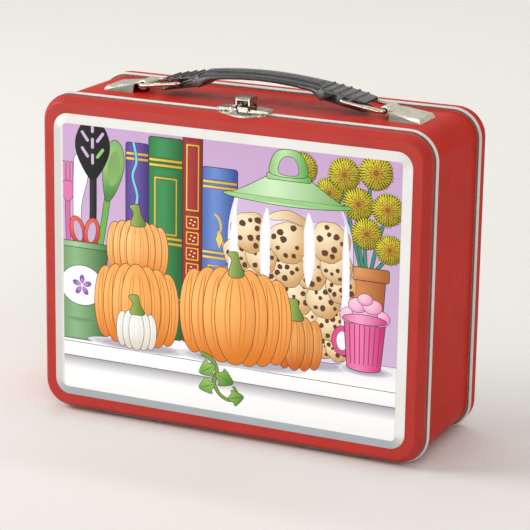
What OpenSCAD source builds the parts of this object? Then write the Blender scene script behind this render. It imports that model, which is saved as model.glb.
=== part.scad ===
// Lunch box: stamped sheet-metal case with a bottom-hinged cover, a snap latch and a swinging handle.
// +Z is up, the cover faces -Y, and the origin is on the ground below the middle of the box.

/* [Case] */
// Width over the beads
box_w = 197; // [180:1:230]
// Height over the beads
box_h = 154.3; // [140:0.1:180]
// Depth from the front shell's rim face to the rear shell's
rim_depth = 70; // [64:1:90]
// Corner radius of the beads, seen from the front
corner_r = 14; // [12:0.5:18]
// Thickness of the tinplate
sheet = 0.4; // [0.3:0.05:0.5]

/* [Shells and panels] */
// Depth of each stamped shell, from its rim face to the bead's centre
shell_depth = 8; // [7:0.5:12]
// How far the cover's outline lies inside the beads'
cover_inset = 1.2; // [1:0.1:1.2]
// The same for the rear shell
rear_inset = 0.4; // [0.3:0.1:0.6]
// Length of the cover's sloping flank
flank_len = 3.3; // [2.5:0.1:3.5]
// Rounding of the rear shell's edge
rear_edge_r = 2.5; // [2:0.1:3]
// From the outline of the beads to the foot of the panel's bevel
panel_margin = 9.2; // [9:0.1:12]
// Width of the panel's bevel
bevel_w = 3.8; // [3:0.1:4.5]
// How far the shells are embossed
emboss = 1.1; // [0.5:0.1:2]
// Thickness of the bevelled panels
panel_sheet = 0.4; // [0.3:0.1:0.6]
// Thickness of the printed sheet
print_sheet = 0.1; // [0.1:0.05:0.2]
// From the middle of the box to the middle of the printed sheet
print_x = 0.6; // [0:0.1:0.6]

/* [Beads and hinges] */
// Diameter of the hem beads
bead_d = 2.4; // [2:0.1:3]
// How far the beads stand proud of the band
bead_stand = 1.8; // [1.5:0.1:2]
// Length of each cover hinge
hinge_len = 36; // [24:1:44]
// From the middle of the box to the middle of each hinge
hinge_x = 52; // [40:1:60]
// Diameter of the hinge wires
hinge_wire_d = 1.2; // [1:0.1:1.4]

/* [Handle] */
// From the middle of the box to the middle of the handle
handle_x = 2.4; // [0:0.1:5]
// From the middle of the handle to each bracket's eye
eye_x = 61.2; // [60:0.1:64]
// Height of the eyes above the band
eye_rise = 3.6; // [3.4:0.1:4]
// Diameter of the link wire
wire_d = 2.1; // [1.8:0.1:2.4]
// Length of a link, between the centres of its two cross bars
link_len = 20.7; // [20.5:0.1:21]
// Slope of the links when the handle lies at rest
link_slope = 8.5; // [8:0.1:9]
// Distance between a link's legs, centre to centre
link_w = 16.4; // [16:0.2:18]
// Width of the grip
grip_w = 16.8; // [16:0.2:18]

/* [Latch] */
// From the middle of the box to the middle of the latch
latch_x = 4.7; // [-20:0.1:20]
// Length of the oval base
latch_len = 27; // [25:0.5:30]
// Width of the lever
lever_w = 6.9; // [6:0.1:7]
// Height of the lever's pin above the beads
pin_rise = 3.4; // [3.2:0.1:3.6]

/* [Hidden] */
$fn = 48;
eps = 0.01;
seam = rim_depth / 2 - shell_depth;      // from the middle of the depth to each bead's centre
bead_r = bead_d / 2;
seam_gap = 0.4;                          // between the cover's edge and the front bead
lip_len = 3;                             // how far the band reaches past the seam, inside the shells
band_top = box_h - bead_stand;
cover_top = box_h - cover_inset;
z_rim = rim_depth / 2;
foot_r = 7;                              // corner radius of the panels' bevel, at its foot
eye_z = band_top + eye_rise;
wire_r = wire_d / 2;

red = "firebrick";
cream = "antiquewhite";
nickel = "silver";

// ---- Shapes shared by several sub-parts ----

// Stands a shape up: its x is the box's width, its y the height and its z the way to the front.
module upright() {
    translate([0, 0, box_h / 2]) rotate([90, 0, 0]) children();
}

module rearward() {
    mirror([0, 1, 0]) children();
}

module left_and_right() {
    children();
    mirror([1, 0, 0]) children();
}

module rounded_rect(w, h, r) {
    square([w - 2 * r, h], center = true);
    square([w, h - 2 * r], center = true);
    for (x = [-1, 1], y = [-1, 1])
        translate([x * (w / 2 - r), y * (h / 2 - r)]) circle(r);
}

// Sweeps a section round a rounded rectangle. The section's x counts outwards from the corners' centres.
module ring(w, h, r) {
    for (i = [0:3]) {
        half_x = (i % 2 == 0 ? w : h) / 2 - r;
        half_y = (i % 2 == 0 ? h : w) / 2 - r;
        rotate([0, 0, 90 * i]) translate([half_x, half_y, 0]) {
            rotate_extrude(angle = 90) children();
            rotate([90, 0, 0]) linear_extrude(2 * half_y) children();
        }
    }
}

// A shell's edge: [upper bend's radius, slope of the flank, its length, radius of the bend at the rim].
cover_edge = [3, 35, flank_len, 1.2];
rear_edge = [rear_edge_r, 45, 0, rear_edge_r];

// How far an edge reaches in from the outline, and back from the rim.
function edge_in(e) = e[0] * (1 - cos(e[1])) + e[2] * sin(e[1]) + e[3] * cos(e[1]);
function edge_back(e) = e[0] * sin(e[1]) + e[2] * cos(e[1]) + e[3] * (1 - sin(e[1]));

// Points of an edge from the wall to the rim, as [distance inside the outline, distance behind the rim].
function edge_line(e, out) = let (steps = 4) concat(
    [for (i = [0:steps]) let (a = e[1] * i / steps)
        [e[0] - (e[0] + out) * cos(a), edge_back(e) - (e[0] + out) * sin(a)]],
    [for (i = [e[2] > 0 ? 0 : 1:steps]) let (a = e[1] + (90 - e[1]) * i / steps)
        [edge_in(e) - (e[3] + out) * cos(a), e[3] - (e[3] + out) * sin(a)]]);

function reversed(points) = [for (i = [len(points) - 1:-1:0]) points[i]];

// A stamped tray: wall, edge, flat rim, bevel and embossed face.
module stamped_shell(z_back, inset, edge) {
    out_w = box_w - 2 * inset;
    out_h = box_h - 2 * inset;
    out_r = corner_r - inset;
    rim_r = out_r - edge_in(edge);
    foot_w = box_w - 2 * panel_margin;
    foot_h = box_h - 2 * panel_margin;
    overlap = 1;
    land = 0.2;
    ring(out_w, out_h, out_r) polygon(concat([[out_r, z_back]],
        [for (p = edge_line(edge, 0)) [out_r - p[0], z_rim - p[1]]],
        [[rim_r - overlap, z_rim], [rim_r - overlap, z_rim - sheet]],
        [for (p = reversed(edge_line(edge, -sheet))) [out_r - p[0], z_rim - p[1]]],
        [[out_r - sheet, z_back]]));
    translate([0, 0, z_rim - sheet]) linear_extrude(sheet) difference() {
        rounded_rect(out_w - 2 * edge_in(edge), out_h - 2 * edge_in(edge), rim_r);
        rounded_rect(foot_w, foot_h, foot_r);
    }
    ring(foot_w, foot_h, foot_r)
        polygon([[foot_r + land, z_rim - sheet], [foot_r + land, z_rim], [foot_r, z_rim],
            [foot_r - bevel_w, z_rim + emboss], [0, z_rim + emboss], [0, z_rim + emboss - sheet],
            [foot_r - bevel_w, z_rim + emboss - sheet], [foot_r, z_rim - sheet]]);
    translate([0, 0, z_rim + emboss - sheet / 2])
        cube([foot_w - 2 * foot_r, foot_h - 2 * foot_r, sheet], center = true);
}

// The white bevelled panel that lies over the embossed face.
module bevelled_panel() {
    z_face = z_rim + emboss;
    foot_w = box_w - 2 * panel_margin;
    foot_h = box_h - 2 * panel_margin;
    rim = 0.4;
    ring(foot_w, foot_h, foot_r)
        polygon([[foot_r, z_rim], [foot_r + rim, z_rim], [foot_r + rim, z_rim + rim / 2],
            [foot_r - bevel_w, z_face + panel_sheet], [0, z_face + panel_sheet], [0, z_face],
            [foot_r - bevel_w, z_face]]);
    translate([0, 0, z_face + panel_sheet / 2])
        cube([foot_w - 2 * foot_r, foot_h - 2 * foot_r, panel_sheet], center = true);
}

module printed_sheet() {
    margin = panel_margin + bevel_w + 0.1;
    print_r = 1.9;
    translate([print_x, 0, z_rim + emboss + panel_sheet]) linear_extrude(print_sheet)
        rounded_rect(box_w - 2 * (margin + print_x), box_h - 2 * margin, print_r);
}

// A domed rivet on +Z: head above the sheet, shank through it, and a flat upset end inside.
module rivet(head_r, head_h, shank_r, grip, end_r, end_h) {
    dome_r = (head_r * head_r + head_h * head_h) / (2 * head_h);
    intersection() {
        translate([0, 0, head_h - dome_r]) sphere(dome_r);
        cylinder(r = head_r, h = head_h);
    }
    translate([0, 0, -grip - end_h]) cylinder(r = shank_r, h = grip + end_h + eps);
    translate([0, 0, -grip - end_h]) cylinder(r = end_r, h = end_h);
}

// ---- Case ----

strike_y = -seam + 2.4;                  // front face of the strike's ridge
strike_rivet_x = 5.6;
strike_rivet_y = strike_y + 3;
strike_rivet_r = 0.8;
strike_t = 0.5;
latch_rivet_x = 9.2;
latch_rivet_y = -seam - 3.1;
latch_rivet_r = 0.7;
latch_rivet_head_r = 1;
window_clear = 0.3;
tab_x = [67.5, 75.5];                    // the brackets' clinched tabs, from the middle of the handle
tab_w = 3;
tab_t = 0.8;
tab_y = 7.6;

module hinge_windows(extra) {
    for (side = [-1, 1])
        translate([side * hinge_x - hinge_len / 2 - extra, -seam - bead_r - extra, -1])
            cube([hinge_len + 2 * extra, bead_d + 2 * extra, bead_stand + 2]);
}

module body_band() {
    color(red) difference() {
        upright() translate([0, 0, -seam - lip_len]) linear_extrude(2 * (seam + lip_len)) difference() {
            rounded_rect(box_w - 2 * bead_stand, box_h - 2 * bead_stand, corner_r - bead_stand);
            rounded_rect(box_w - 2 * (bead_stand + sheet), box_h - 2 * (bead_stand + sheet),
                corner_r - bead_stand - sheet);
        }
        hinge_windows(window_clear);
        for (side = [-1, 1], x = tab_x, y = [-tab_y, tab_y])
            translate([handle_x + side * x, y, band_top]) cube([tab_w, tab_t, 4], center = true);
        for (x = [-strike_rivet_x, strike_rivet_x])
            translate([latch_x + x, strike_rivet_y, band_top - 2]) cylinder(r = strike_rivet_r, h = 4);
        for (x = [-latch_rivet_x, latch_rivet_x])
            translate([latch_x + x, latch_rivet_y, band_top - 2])
                cylinder(r = latch_rivet_head_r + window_clear, h = 4);
    }
}

module bead() {
    upright() translate([0, 0, seam]) ring(box_w, box_h, corner_r) intersection() {
        translate([corner_r - bead_r, 0]) circle(bead_r);
        translate([corner_r - bead_stand, -bead_d]) square(2 * bead_d);
    }
}

module front_bead() {
    color(cream) difference() {
        bead();
        hinge_windows(window_clear);
    }
}

module rear_bead() {
    color(cream) rearward() bead();
}

module rear_shell() {
    color(red) rearward() upright() difference() {
        stamped_shell(seam + bead_r / 2, rear_inset, rear_edge);
        translate([0, 0, seam]) ring(box_w, box_h, corner_r)
            translate([corner_r - bead_r, 0]) circle(bead_r);
    }
}

module rear_panel() {
    color("white") rearward() upright() bevelled_panel();
    color("white") rearward() upright() printed_sheet();
}

module front_cover() {
    color(red) difference() {
        upright() stamped_shell(seam + bead_r + seam_gap, cover_inset, cover_edge);
        for (x = [-latch_rivet_x, latch_rivet_x])
            translate([latch_x + x, latch_rivet_y, cover_top - 2]) cylinder(r = latch_rivet_r, h = 4);
    }
}

module front_panel() {
    color("white") upright() bevelled_panel();
}

module front_print() {
    color("thistle") upright() printed_sheet();
}

// ---- Cover hinges: their axis is the front bead's centre line ----

knuckle_gap = 0.3;
knuckle_bore_r = hinge_wire_d / 2 + 0.05;
knuckles = 5;
knuckle_pitch = (hinge_len + knuckle_gap) / knuckles;
leaf_t = 0.4;
leaf_gap = 2.2;                          // a leaf's solid strip starts this far from the axis

module along_x(x, len) {
    translate([x, -seam, bead_r]) rotate([0, 90, 0]) linear_extrude(len) children();
}

// One knuckle of each hinge: a barrel and its strip of leaf, drawn as a section with x down and y back.
module knuckle(index, leaf_from, leaf_to, leaf_mid) {
    for (side = [-1, 1])
        along_x(side * hinge_x - hinge_len / 2 + index * knuckle_pitch, knuckle_pitch - knuckle_gap)
            difference() {
                union() {
                    circle(bead_r);
                    translate([-leaf_mid - leaf_t / 2, leaf_from]) square([leaf_t, leaf_to - leaf_from]);
                }
                circle(knuckle_bore_r);
            }
}

module cover_knuckles() {
    leaf_mid = -0.2;
    leaf_front = -3.7;
    color(nickel) for (i = [1, 3]) knuckle(i, leaf_front, 0, leaf_mid);
    color(nickel) for (side = [-1, 1])
        along_x(side * hinge_x - hinge_len / 2, hinge_len)
            translate([-leaf_mid - leaf_t / 2, leaf_front]) square([leaf_t, -leaf_gap - leaf_front]);
}

module body_knuckles() {
    leaf_mid = 0.4;
    leaf_back = 9;
    color(nickel) for (i = [0, 2, 4]) knuckle(i, 0, leaf_back, leaf_mid);
    color(nickel) for (side = [-1, 1])
        along_x(side * hinge_x - hinge_len / 2, hinge_len)
            translate([-leaf_mid - leaf_t / 2, leaf_gap]) square([leaf_t, leaf_back - leaf_gap]);
}

module hinge_pins() {
    color("dimgray") for (side = [-1, 1])
        along_x(side * hinge_x - hinge_len / 2, hinge_len) circle(hinge_wire_d / 2);
}

// ---- Handle brackets: a pressed wedge, open at the inner end, with a rolled eye ----

bracket_sheet = 0.8;
bracket_in = eye_x + 3.4;
bracket_out = 80;
bracket_half_w = 9.2;
eye_r = 2.4;
eye_bore_r = 1.5;
eye_half_len = 5.6;
bracket_high = 4;                        // height at the open end
bracket_low = 2.2;                       // height at the outer end
bracket_flank = 1.1;                     // width of the sloping sides
clinch_fit = 0.1;                        // play of a clinched tab in its slot
clinch_depth = 0.7;                      // from the band's underside to the tab's end
clinch_t = 0.6;
clinch_len = 2.6;

// The wedge, or with a margin the hollow inside it, which runs out through the open end and the foot.
module wedge(margin) {
    past_end = margin > 0 ? 1 : 0;
    past_foot = margin > 0 ? 0.5 : 0;
    thin = 0.02;
    x_in = bracket_in - past_end;
    y_foot = bracket_half_w - margin;
    y_top = y_foot - bracket_flank;
    hull() {
        translate([x_in, -y_foot, -past_foot]) cube([bracket_out - margin - x_in, 2 * y_foot, thin]);
        translate([x_in, -y_top, bracket_high - margin - thin]) cube([thin, 2 * y_top, thin]);
        translate([bracket_out - bracket_flank - margin, -y_top, bracket_low - margin - thin])
            cube([thin, 2 * y_top, thin]);
    }
}

module bracket() {
    translate([0, 0, band_top]) difference() {
        wedge(0);
        wedge(bracket_sheet);
    }
    translate([0, eye_half_len, 0]) rotate([90, 0, 0]) linear_extrude(2 * eye_half_len) difference() {
        union() {
            translate([eye_x, eye_z]) circle(eye_r);
            polygon([[eye_x, eye_z + eye_r], [bracket_in + 1, band_top + bracket_high - 0.1],
                [bracket_in + 1, band_top + bracket_high - 0.1 - bracket_sheet], [eye_x + 1, eye_z + 1]]);
        }
        translate([eye_x, eye_z]) circle(eye_bore_r);
    }
    for (x = tab_x, y = [-1, 1]) translate([x, y * tab_y, band_top - sheet - clinch_depth]) {
        translate([clinch_fit - tab_w / 2, clinch_fit - tab_t / 2, 0])
            cube([tab_w - 2 * clinch_fit, tab_t - 2 * clinch_fit, clinch_depth + sheet + bracket_sheet]);
        translate([clinch_fit - tab_w / 2, -y * (clinch_len - 0.2) / 2 - clinch_len / 2, 0])
            cube([tab_w - 2 * clinch_fit, clinch_len, clinch_t]);
    }
}

module right_bracket() {
    color(nickel) translate([handle_x, 0, 0]) bracket();
}

module left_bracket() {
    color(nickel) translate([handle_x, 0, 0]) mirror([1, 0, 0]) bracket();
}

// ---- Wire links ----

bar_x = eye_x - link_len * cos(link_slope);
bar_z = eye_z + link_len * sin(link_slope);

module link() {
    bend_r = 1.6;
    translate([(eye_x + bar_x) / 2, 0, (eye_z + bar_z) / 2]) rotate([0, link_slope, 0])
        ring(link_len, link_w, bend_r) translate([bend_r, 0]) circle(wire_r);
}

module right_link() {
    color(nickel) translate([handle_x, 0, 0]) link();
}

module left_link() {
    color(nickel) translate([handle_x, 0, 0]) mirror([1, 0, 0]) link();
}

// ---- Grip: an arch whose ends split into two tongues round the links' inner bars ----

grip_edge = 12;                          // top of the grip's edges at mid-length; heights here are over the beads
grip_under = 9.8;
arch_r = 208;                            // the arc of the edges
grip_half = 52.4;
arch_half = 24;
arch_end = 8;
root = [30.8, 3.7];                      // lowest point of the arch's foot: distance out, height
root_curve = [[29.4, 4.7], [28.2, 6.1], [26.4, 7.3]];
slot_in = 32.6;
slot_roof = [[grip_half, 4.5], [45.4, 6.3], [slot_in, 7.6]];
slot_low = [slot_in, 4.8];
tongue_top = [[31.1, 4.95], [38.5, 3.4], [52, 1.4]];
tongue_under = [[29.8, 4.2], [52, 0]];
lower_half_w = 6.7;
post_in = 45.6;
post_t = 2.2;
crown_half = 30;                         // the crown's length, either side of the middle
crown_section = [[-0.6, 4.6], [0.8, 4.1], [1.3, 3], [1.6, 1.2]];  // height over the edges, distance from the middle
rib_count = 5;
rib_pitch = 4.14;
rib_first = 31.3;
rib_t = 0.9;
rib_h = 0.6;

function edge_z(u) = grip_edge - arch_r + sqrt(arch_r * arch_r - u * u);
function under_z(u) = grip_under - (grip_under - arch_end) * pow(u / arch_half, 2);
function mirrored(points) = [for (p = points) [-p[0], p[1]]];

// One end's underside, from the tip's mouth inwards to the arch.
grip_end = concat(slot_roof, [slot_low, root], root_curve);

module grip_side() {
    polygon(concat(
        [for (i = [-12:12]) [grip_half * i / 12, edge_z(grip_half * i / 12)]],
        grip_end,
        [for (i = [6:-1:-6]) [arch_half * i / 6, under_z(arch_half * i / 6)]],
        reversed(mirrored(grip_end))));
}

module lower_tongue() {
    polygon(concat(tongue_under, reversed(tongue_top)));
}

// The rounded crown along the middle of the arch, swept on the arc of the edges.
module crown() {
    half_turn = asin(crown_half / arch_r);
    outline = [for (p = crown_section) [arch_r + p[0], p[1]]];
    translate([0, 0, grip_edge - arch_r]) rotate([90, 0, 0]) rotate([0, 0, 90 - half_turn])
        rotate_extrude(angle = 2 * half_turn)
            polygon(concat(outline, [for (p = reversed(outline)) [p[0], -p[1]]]));
}

module side_profile(half_w) {
    translate([0, half_w, 0]) rotate([90, 0, 0]) linear_extrude(2 * half_w) children();
}

module handle_grip() {
    post_low = tongue_top[1][1] - 1.6;
    color("dimgray") translate([handle_x, 0, box_h]) {
        side_profile(grip_w / 2) grip_side();
        crown();
        left_and_right() {
            side_profile(lower_half_w) lower_tongue();
            translate([post_in, 1 - lower_half_w, post_low])
                cube([post_t, 2 * (lower_half_w - 1), slot_roof[1][1] + 0.4 - post_low]);
            for (i = [0:rib_count - 1]) {
                u = rib_first + i * rib_pitch;
                translate([u, 0, edge_z(u)]) rotate([0, asin(u / arch_r), 0])
                    cube([rib_t, grip_w, 2 * rib_h], center = true);
            }
        }
    }
}

// ---- Latch ----

base_t = 0.7;
base_under = box_h + 0.25;
pin = [-seam + 1.7, box_h + pin_rise];   // y and z of the lever's axis
pin_r = 0.5;
ear_t = 0.5;
cheek_t = 0.6;
ear_x = lever_w / 2 - cheek_t - 0.3 - ear_t;
slot_half = lever_w / 2 + 0.3;
lip_y = -4.2;                            // the lip below the lever's roll, from the pin
lip_h = 1.4;
stand_z = base_under + 0.2;              // the ears, lip and bosses are sunk this far into the base plate
step_t = 0.6;
y_flat = -seam - 2;                      // front edge of the base's flat part
flat_len = 10.6;
rivet_end_h = 0.3;

module across(half, x = 0) {
    translate([latch_x + x - half, 0, 0]) rotate([90, 0, 90]) linear_extrude(2 * half) children();
}

// Section of the base plate: flat over the bead, stepped down onto the cover and on along its flank.
module base_section() {
    y_step = y_flat + step_t;
    translate([y_flat, base_under]) square([flat_len, base_t]);
    translate([y_flat, cover_top + base_t / 2]) square([step_t, base_under - cover_top]);
    polygon(concat([[y_step, cover_top + base_t]],
        [for (p = edge_line(cover_edge, base_t)) [p[1] - z_rim, cover_top - p[0]]],
        [for (p = reversed(edge_line(cover_edge, 0))) [p[1] - z_rim, cover_top - p[0]]],
        [[y_step, cover_top]]));
}

module oval_outline() {
    side_r = 24;
    half_w = 6.3;
    end_r = 4.9;
    scallop_r = 0.75;
    scallop_out = end_r + 0.35;
    scallop_step = 24;
    difference() {
        union() {
            intersection() {
                translate([0, side_r - half_w]) circle(side_r);
                translate([0, half_w - side_r]) circle(side_r);
                square([latch_len - 2 * end_r, 20], center = true);
            }
            for (x = [-1, 1]) translate([x * (latch_len / 2 - end_r), 0]) circle(end_r);
        }
        for (x = [-1, 1], a = [-60:scallop_step:60])
            translate([x * (latch_len / 2 - end_r + scallop_out * cos(a)), scallop_out * sin(a)])
                circle(scallop_r);
    }
}

module latch_base() {
    oval_y = -seam + 0.7;
    boss_x = 4.8;
    boss_y = -seam - 1.3;
    boss_r = 2.7;
    boss_dome_r = 2.9;
    boss_sink = 0.6;
    opening = [1.2, 9.6, 4];             // the lever's cheeks dip through two of these
    opening_y = pin[0] - 4.7;
    nose_slot = [strike_y + 1.2, 2];     // y and length of the spring's slot
    color(nickel) difference() {
        union() {
            intersection() {
                across(latch_len / 2) base_section();
                translate([latch_x, oval_y, cover_top - 10]) linear_extrude(20) oval_outline();
            }
            intersection() {
                translate([latch_x - boss_x, boss_y, base_under - boss_sink]) sphere(boss_dome_r);
                translate([latch_x - boss_x, boss_y, cover_top + base_t / 2]) cylinder(r = boss_r, h = 5);
            }
            for (x = [-ear_x - ear_t / 2, ear_x + ear_t / 2]) across(ear_t / 2, x) ear_section();
            across(ear_x) translate([pin[0] + lip_y, cover_top + base_t / 2])
                square([0.6, stand_z + lip_h - cover_top - base_t / 2]);
        }
        for (x = [-1, 1]) translate([latch_x + x * (slot_half - opening[0] / 2), opening_y, base_under - 0.2])
            translate([-opening[0] / 2, 0, 0]) cube(opening);
        across(1.7) translate([nose_slot[0], base_under - 1]) square([nose_slot[1], 3]);
        across(6) translate(pin) circle(pin_r);
        across(latch_len) translate([y_flat + step_t, cover_top - 1]) square([20, base_under - cover_top + 1]);
        for (x = [-latch_rivet_x, latch_rivet_x])
            translate([latch_x + x, latch_rivet_y, cover_top - 2]) cylinder(r = latch_rivet_r, h = 6);
    }
}

module ear_section() {
    ear_r = 1.3;
    foot = [5.5, 1.4];
    difference() {
        union() {
            translate(pin) circle(ear_r);
            translate([pin[0] + lip_y, stand_z]) square([0.9, lip_h]);
            translate([pin[0] + lip_y, stand_z]) square(foot);
            translate([pin[0] - 1.2, stand_z]) square([2.4, pin[1] - stand_z]);
        }
        translate(pin) circle(pin_r);
    }
}

// Lever: two cheeks, a top that rolls over at the front, a rear wall and the finger below the spring.
lever_front = -4.3;                      // from the pin
lever_back = 3.8;
lever_top = 2.8;
lever_under = 0.7;                       // how far the cheeks reach below the pin
lever_sheet = 0.6;
roll_r = 1;
finger_z = base_under + base_t + 0.25;
finger_len = 1.1;

module cheek_section() {
    difference() {
        union() {
            translate([pin[0] + lever_front, pin[1] - lever_under])
                square([lever_back - lever_front, lever_top + lever_under - 0.3]);
            translate([pin[0] + lever_front + roll_r, pin[1] + lever_top - roll_r]) circle(roll_r);
            translate([pin[0] + lever_front + roll_r, pin[1] - lever_under])
                square([lever_back - lever_front - roll_r, lever_top + lever_under]);
            translate(pin) circle(1.2);
        }
        translate(pin) circle(pin_r + 0.05);
    }
}

module lever_shell_section() {
    difference() {
        translate([pin[0] + lever_front + roll_r, pin[1] + lever_top - roll_r]) circle(roll_r);
        translate([pin[0] + lever_front + roll_r, pin[1] + lever_top - roll_r]) circle(roll_r - 0.5);
    }
    translate([pin[0] + lever_front + roll_r, pin[1] + lever_top - lever_sheet])
        square([lever_back - lever_front - roll_r, lever_sheet]);
    translate([pin[0] + lever_back - lever_sheet, finger_z])
        square([lever_sheet, pin[1] + lever_top - finger_z]);
}

module latch_lever() {
    finger_half_w = 1.1;
    finger_t = 0.4;
    color(nickel) {
        for (x = [-1, 1]) across(cheek_t / 2, x * (lever_w - cheek_t) / 2) cheek_section();
        across(lever_w / 2 - eps) lever_shell_section();
        across(finger_half_w) translate([pin[0] + lever_back - finger_len, finger_z])
            square([finger_len, finger_t]);
    }
}

module latch_pin() {
    half = lever_w / 2 + 0.25;
    color("dimgray") across(half) translate(pin) circle(pin_r);
}

// Leaf spring: riveted flat at the front, its nose hooks down behind the strike.
module latch_spring() {
    leaf_z = base_under + base_t + 0.8;
    leaf_len = 5.1;
    spring_t = 0.3;
    spring_half_w = 1.2;
    foot_len = 1.6;
    riser_y = pin[0] - 2.1;
    nose_y = strike_y + 1.5;
    nose_z = band_top + 0.7;
    color("lightsteelblue") across(spring_half_w) {
        translate([riser_y + spring_t - foot_len, base_under + base_t]) square([foot_len, spring_t]);
        translate([riser_y, base_under + base_t]) square([spring_t, leaf_z + spring_t - base_under - base_t]);
        translate([riser_y, leaf_z]) square([leaf_len, spring_t]);
        translate([nose_y, nose_z]) square([spring_t, leaf_z + 0.2 - nose_z]);
    }
}

// Strike: a folded ridge on the band, just behind the front bead.
module latch_strike() {
    half = strike_rivet_x + 1.6;
    plate_len = 4.4;
    ridge = [0.7, 1.35];
    nose_gap = 1.2;
    color(nickel) difference() {
        union() {
            across(half) translate([strike_y, band_top]) square([plate_len, strike_t]);
            across(1.9) translate([strike_y, band_top]) square(ridge);
        }
        for (x = [-strike_rivet_x, strike_rivet_x])
            translate([latch_x + x, strike_rivet_y, band_top - 2]) cylinder(r = strike_rivet_r, h = 4);
        across(1.5) translate([strike_y + nose_gap, band_top - 1]) square([nose_gap, 3]);
    }
}

module latch_rivets() {
    grip = base_t + sheet + 0.25;
    color(nickel) for (x = [-latch_rivet_x, latch_rivet_x])
        translate([latch_x + x, latch_rivet_y, cover_top + base_t])
            rivet(latch_rivet_head_r, 0.3, latch_rivet_r, grip, latch_rivet_head_r, rivet_end_h);
}

module strike_rivets() {
    grip = strike_t + sheet;
    color(nickel) for (x = [-strike_rivet_x, strike_rivet_x])
        translate([latch_x + x, strike_rivet_y, band_top + strike_t])
            rivet(1.3, 0.5, strike_rivet_r, grip, 1.3, 0.5);
}

body_band();
front_bead();
rear_bead();
rear_shell();
rear_panel();
front_cover();
front_panel();
front_print();
cover_knuckles();
body_knuckles();
hinge_pins();
left_bracket();
right_bracket();
left_link();
right_link();
handle_grip();
latch_base();
latch_lever();
latch_pin();
latch_spring();
latch_strike();
latch_rivets();
strike_rivets();
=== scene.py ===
"""Looks of the lunch box: enamelled tinplate shells, nickel fittings, a moulded grip and a printed panel.

Blender 4.5. Lengths are in metres unless a name ends in _mm. The cover faces -Y and +Z is up.
"""
import math
import random

import bmesh
import bpy
from mathutils import Matrix, Vector
from mathutils.geometry import delaunay_2d_cdt


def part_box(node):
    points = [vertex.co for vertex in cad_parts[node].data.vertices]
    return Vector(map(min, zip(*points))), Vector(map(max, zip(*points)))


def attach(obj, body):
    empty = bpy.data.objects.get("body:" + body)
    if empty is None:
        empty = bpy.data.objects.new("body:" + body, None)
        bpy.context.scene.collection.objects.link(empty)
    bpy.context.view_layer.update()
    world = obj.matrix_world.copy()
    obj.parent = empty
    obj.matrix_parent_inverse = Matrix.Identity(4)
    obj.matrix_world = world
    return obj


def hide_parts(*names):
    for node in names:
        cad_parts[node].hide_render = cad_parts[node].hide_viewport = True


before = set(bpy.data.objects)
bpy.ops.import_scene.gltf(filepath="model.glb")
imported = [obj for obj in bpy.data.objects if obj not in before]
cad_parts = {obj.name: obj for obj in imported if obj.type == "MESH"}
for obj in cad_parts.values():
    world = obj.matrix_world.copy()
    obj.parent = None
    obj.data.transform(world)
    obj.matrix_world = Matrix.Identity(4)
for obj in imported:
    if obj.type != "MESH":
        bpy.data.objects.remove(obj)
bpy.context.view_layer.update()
MM = 0.001


# ---- Driving places, read from the CAD parts' boxes ----

def corner(node, end):
    """The low (0) or high (1) corner of a CAD node's box."""
    return Vector(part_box(node)[end])


BEAD_TOP = corner("front_bead", 1).z
PRINT_LOW = corner("front_print", 0)
PRINT_HIGH = corner("front_print", 1)


# ---- Camera ----

AZIMUTH = math.radians(24.957)
ELEVATION = math.radians(15.641)
ROLL = math.radians(0.892)
FRONT_RIM = Vector((0, -0.035, BEAD_TOP / 2))      # middle of the front rim's plane
DISTANCE = 1.0517
SIDE_STEP = 0.01784
RISE = 0.00614
LENS_MM = 156.6


def make_camera():
    back = Vector((math.sin(AZIMUTH) * math.cos(ELEVATION),
                   -math.cos(AZIMUTH) * math.cos(ELEVATION), math.sin(ELEVATION)))
    level = (-back).cross(Vector((0, 0, 1))).normalized()
    rise = level.cross(-back)
    right = level * math.cos(ROLL) + rise * math.sin(ROLL)
    up = rise * math.cos(ROLL) - level * math.sin(ROLL)
    data = bpy.data.cameras.new("camera")
    data.lens = LENS_MM
    data.sensor_width = 36
    data.clip_start = 0.05
    data.clip_end = 20
    camera = bpy.data.objects.new("camera", data)
    bpy.context.collection.objects.link(camera)
    turn = Matrix((right, up, back)).transposed().to_4x4()
    place = FRONT_RIM + back * DISTANCE + right * SIDE_STEP + up * RISE
    camera.matrix_world = Matrix.Translation(place) @ turn
    bpy.context.scene.camera = camera


# ---- Colours and material helpers ----

# The colour sockets of a Mix node
MIX_A = 6
MIX_B = 7
MIX_RESULT = 2


def linear(code):
    """A colour written as six hex digits, in linear light."""
    out = []
    for i in (0, 2, 4):
        c = int(code[i:i + 2], 16) / 255
        out.append(c / 12.92 if c <= 0.04045 else ((c + 0.055) / 1.055) ** 2.4)
    return out


def mixed(a, b, t):
    """The colour a share t of the way from a to b."""
    t = min(max(t, 0), 1)
    return [x + (y - x) * t for x, y in zip(a, b)]


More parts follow.
